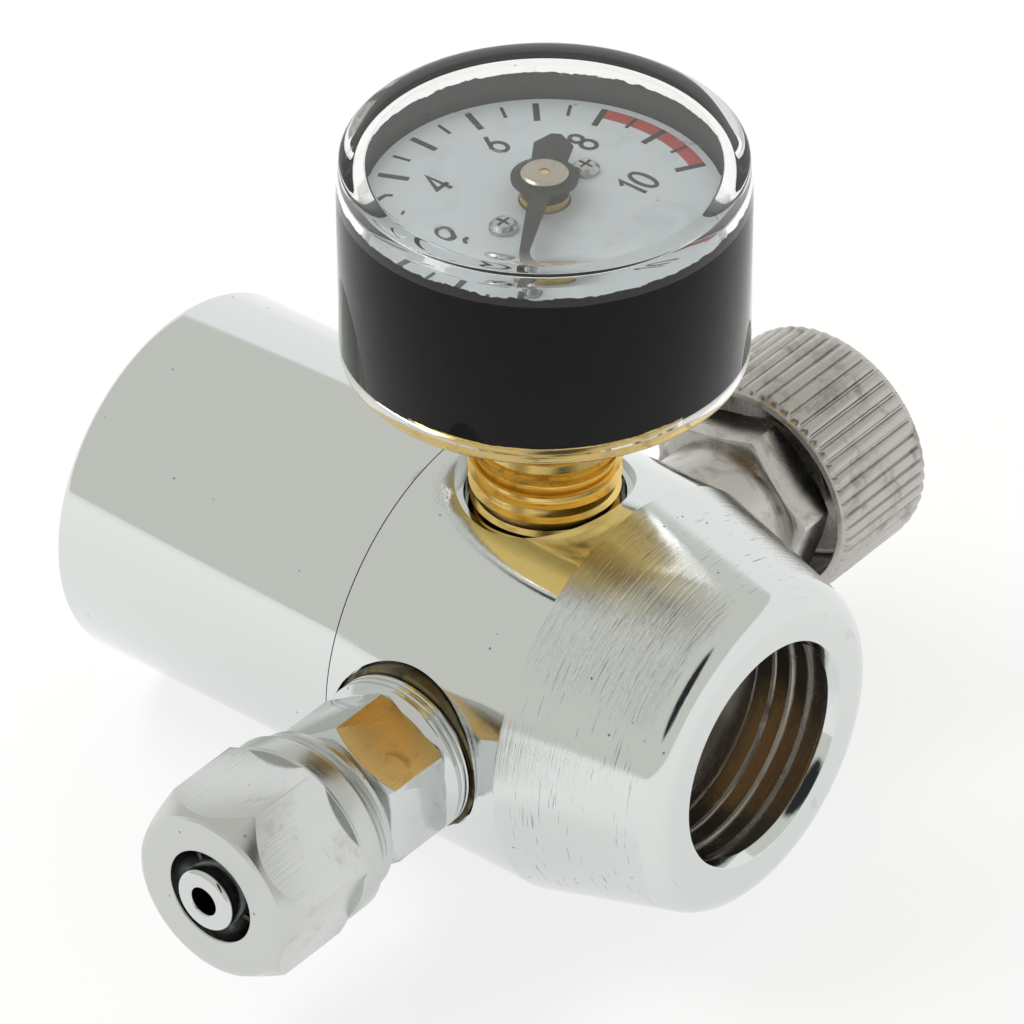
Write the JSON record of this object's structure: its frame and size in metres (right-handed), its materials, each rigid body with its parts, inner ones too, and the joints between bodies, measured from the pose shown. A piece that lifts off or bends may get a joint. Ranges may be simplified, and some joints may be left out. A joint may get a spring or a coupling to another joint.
{
  "type": "gas pressure regulator",
  "caption": "Miniature gas pressure regulator: threaded inlet, spring bonnet, dial gauge in a clear cup, hose fitting with nut, and a needle valve with a knurled knob.",
  "frame": {"origin": "on the inlet's axis, where the inlet thread begins behind its mouth flare", "axes": "+X out of the inlet, +Z towards the gauge, -Y out of the hose fitting, +Y towards the knob"},
  "size_m": [0.0473, 0.062, 0.051],
  "materials": {
    "chrome": "bright plated, finely turned",
    "satin_nickel": "satin nickel plate",
    "steel": "bare steel",
    "brass": "machined",
    "phosphor_bronze": "drawn or sintered bronze",
    "rubber": "matte",
    "nylon": "matte",
    "clear_plastic": "clear moulded cup",
    "black_band": "glossy black coat",
    "dial_white": "satin white",
    "pointer_paint": "satin dark grey"
  },
  "bodies": {
    "housing": {"body": "chrome", "spring_cap": "chrome", "valve_seat": "nylon", "valve_retainer": "brass", "inlet_filter": "phosphor_bronze", "inlet_gasket": "nylon", "main_spring": "steel", "poppet_spring": "steel", "outlet_gasket": "rubber", "outlet_fitting": "chrome", "bonnet_gasket": "rubber", "valve_bonnet": "satin_nickel", "gauge_gasket": "rubber", "gauge_base": "brass", "gauge_lens": "clear_plastic", "gauge_band": "black_band", "dial_plate": "dial_white", "dial_screws": "steel", "stop_pin": "steel", "low_movement_plate": "brass", "top_movement_plate": "brass", "movement_pillars": "brass", "movement_screws": "steel", "bourdon_tube": "phosphor_bronze", "bourdon_tip": "brass", "hairspring": "steel"},
    "spring_plate": {"spring_seat": "brass"},
    "preset": {"preset_screw": "steel"},
    "piston_group": {"piston": "brass", "piston_o_ring": "rubber", "push_pin": "steel"},
    "poppet_group": {"poppet": "brass", "poppet_seal": "nylon"},
    "nut": {"compression_nut": "chrome"},
    "stem_seal": {"stem_o_ring": "rubber"},
    "knob_group": {"knob": "satin_nickel", "knob_screw": "satin_nickel", "needle_stem": "steel"},
    "sector": {"sector_gear": "brass"},
    "link": {"tip_link": "brass"},
    "pointer_group": {"pinion": "brass", "pointer": "pointer_paint", "pointer_cap": "steel"}
  },
  "joints": [
    {"name": "needle_travel", "type": "slide", "parent": "housing", "child": "stem_seal", "axis": [0, 1, 0], "range_m": [-0.00075, 0.00113]},
    {"name": "knob_turn", "type": "hinge", "parent": "stem_seal", "child": "knob_group", "pos_m": [-0.0166, 0.02, 0], "axis": [0, 1, 0], "range_deg": [-360, 540]},
    {"name": "preset_travel", "type": "slide", "parent": "housing", "child": "spring_plate", "axis": [1, 0, 0], "range_m": [-0.0005, 0.002]},
    {"name": "preset_turn", "type": "hinge", "parent": "spring_plate", "child": "preset", "pos_m": [-0.0446, 0, 0], "axis": [1, 0, 0], "range_deg": [-181, 721]},
    {"name": "piston_slide", "type": "slide", "parent": "housing", "child": "piston_group", "axis": [1, 0, 0], "range_m": [-0.0006, 0], "stiffness_N_per_m": 60, "springref_m": 0.002, "deforming": ["main_spring"]},
    {"name": "poppet_lift", "type": "slide", "parent": "housing", "child": "poppet_group", "axis": [1, 0, 0], "range_m": [-0.000601, 0.000001], "deforming": ["poppet_spring"]},
    {"name": "nut_turn", "type": "hinge", "parent": "housing", "child": "nut", "pos_m": [-0.0169, -0.026, 0], "axis": [0, -1, 0], "continuous": true},
    {"name": "sector_swing", "type": "hinge", "parent": "housing", "child": "sector", "pos_m": [-0.01236, -0.00424, 0.027], "axis": [0, 0, 1], "range_deg": [0, 27]},
    {"name": "pointer_turn", "type": "hinge", "parent": "housing", "child": "pointer_group", "pos_m": [-0.0166, 0, 0.033], "axis": [0, 0, 1], "range_deg": [-243.05, 0.05]},
    {"name": "link_pivot", "type": "hinge", "parent": "sector", "child": "link", "pos_m": [-0.0098, -0.00379, 0.029], "axis": [0, 0, 1], "range_deg": [-27.05, 0.05]}
  ],
  "couplings": [
    {"joint": "needle_travel", "follows": "knob_turn", "m_per_rad": 0.00011937},
    {"joint": "preset_turn", "follows": "preset_travel", "rad_per_m": 6283.2},
    {"joint": "poppet_lift", "follows": "piston_slide", "ratio": 1},
    {"joint": "pointer_turn", "follows": "sector_swing", "ratio": -9},
    {"joint": "link_pivot", "follows": "sector_swing", "ratio": -1}
  ]
}
